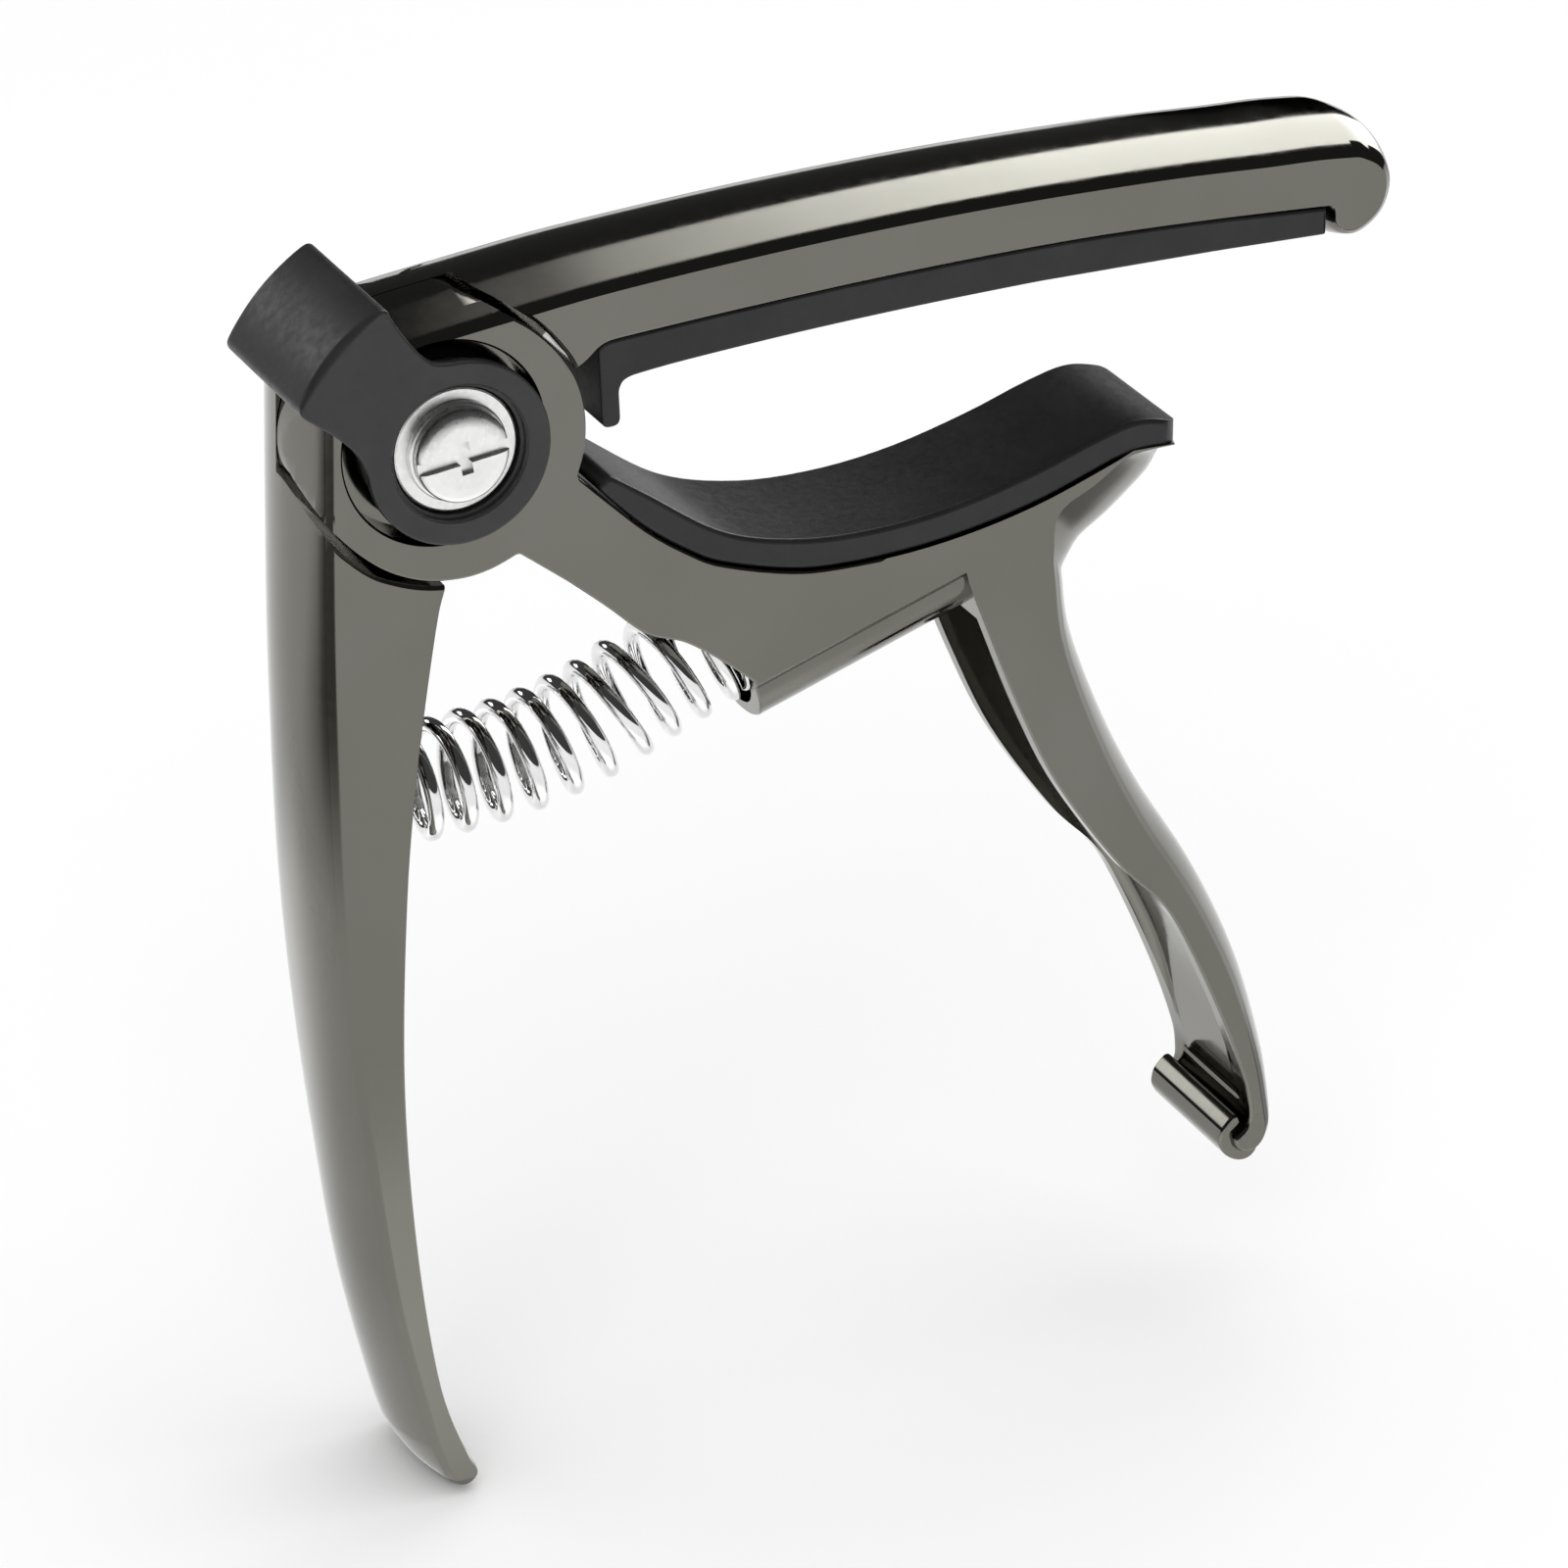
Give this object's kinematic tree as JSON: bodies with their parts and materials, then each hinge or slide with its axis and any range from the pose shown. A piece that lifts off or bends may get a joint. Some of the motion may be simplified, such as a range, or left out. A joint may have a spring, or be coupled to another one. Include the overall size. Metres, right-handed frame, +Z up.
{
  "type": "trigger guitar capo",
  "caption": "Spring-loaded trigger capo: a rubber-faced string bar and a padded jaw turn on one pivot, pushed shut by a coil spring between two squeeze handles.",
  "frame": {"origin": "centre of the whole part's bounding box at rest", "axes": "+X along the string bar away from the pivot, +Y along the guitar's neck, through the castings' depth (front face, with the screw head, at -Y), +Z up from the handles to the string bar"},
  "size_m": [0.0968, 0.0176, 0.108],
  "materials": {
    "gunmetal_plating": "polished dark gunmetal plating on a cast aluminium alloy",
    "pad_rubber": "satin black moulded silicone rubber",
    "clip_plastic": "satin dark grey moulded plastic",
    "satin_steel": "bright satin nickel on steel",
    "nylon": "natural nylon, unpainted",
    "bush_bronze": "plain sintered bronze",
    "spring_chrome": "bright plated spring wire"
  },
  "bodies": {
    "lever": {"lever_casting": "gunmetal_plating", "string_pad": "pad_rubber", "corner_clip": "clip_plastic", "pivot_screw": "satin_steel", "pivot_sleeve_nut": "satin_steel", "front_ring_washer": "satin_steel", "rear_ring_washer": "satin_steel", "thrust_washer": "nylon", "return_spring": "spring_chrome"},
    "jaw": {"jaw_casting": "gunmetal_plating", "neck_pad": "pad_rubber", "pivot_bush": "bush_bronze"}
  },
  "joints": [
    {"name": "jaw_pivot", "type": "hinge", "parent": "lever", "child": "jaw", "pos_m": [-0.0352, 0.0002, 0.03923], "axis": [0, 1, 0], "range_deg": [0, 22], "stiffness_Nm_per_rad": 1.5, "springref_deg": -20.05, "deforming": ["return_spring"]}
  ]
}
